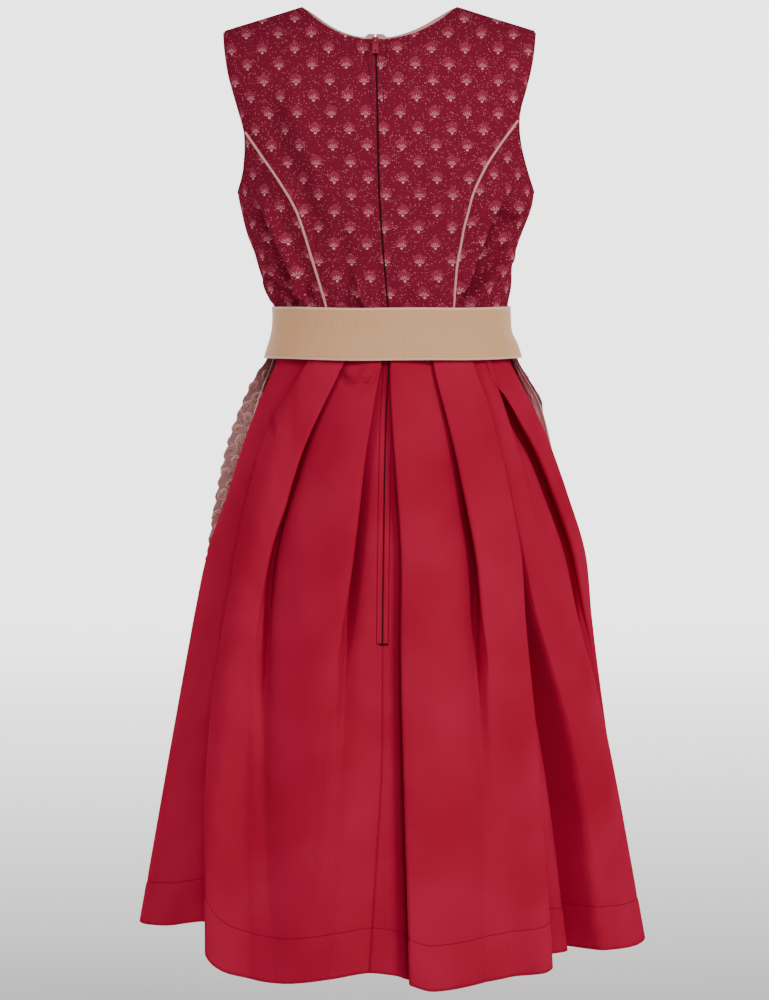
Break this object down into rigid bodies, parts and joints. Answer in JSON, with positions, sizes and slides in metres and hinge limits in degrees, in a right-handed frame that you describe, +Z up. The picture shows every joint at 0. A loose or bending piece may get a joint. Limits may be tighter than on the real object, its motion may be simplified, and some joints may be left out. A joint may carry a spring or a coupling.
{
  "type": "dirndl",
  "caption": "Sleeveless dirndl dress, worn shape: panelled bodice with back zip, pleated skirt, lace apron and ribbon sash.",
  "frame": {"origin": "midway between the two shoulder straps at the height of the neck points, where the wearer's shoulders carry the dress", "axes": "+Z up, +Y out of the back, +X towards the wearer's left"},
  "size_m": [0.6068, 0.585, 1.1155],
  "materials": {
    "jacquard": "woven jacquard, burgundy ground with small rose motifs",
    "taffeta": "smooth red satin-faced taffeta with a soft sheen",
    "ribbon": "beige-taupe satin ribbon with pale rose edges",
    "rose_satin": "dusty rose satin",
    "lace": "corded dusty rose lace",
    "zip_tape": "woven burgundy polyester zip tape",
    "zip_metal": "burgundy enamelled zip slider and pull"
  },
  "bodies": {
    "dress": {"back_left": "jacquard", "back_right": "jacquard", "side_back_left": "jacquard", "side_back_right": "jacquard", "front_left": "jacquard", "front_right": "jacquard", "side_front_left": "jacquard", "side_front_right": "jacquard", "piping_left": "rose_satin", "piping_right": "rose_satin", "armhole_binding_left": "jacquard", "armhole_binding_right": "jacquard", "neck_facing": "rose_satin", "skirt_back_right": "taffeta", "skirt_back_left": "taffeta", "skirt_front": "taffeta", "zip_tape_left": "zip_tape", "zip_tape_right": "zip_tape", "zip_slider": "zip_metal", "apron_lining": "rose_satin", "apron_lace": "lace", "sash": "ribbon"},
    "pull": {"zip_pull": "zip_metal"}
  },
  "joints": [
    {"name": "pull_swing", "type": "hinge", "parent": "dress", "child": "pull", "pos_m": [0.00478, 0.07832, -0.04601], "axis": [1, 0, 0], "range_deg": [0, 130]}
  ]
}
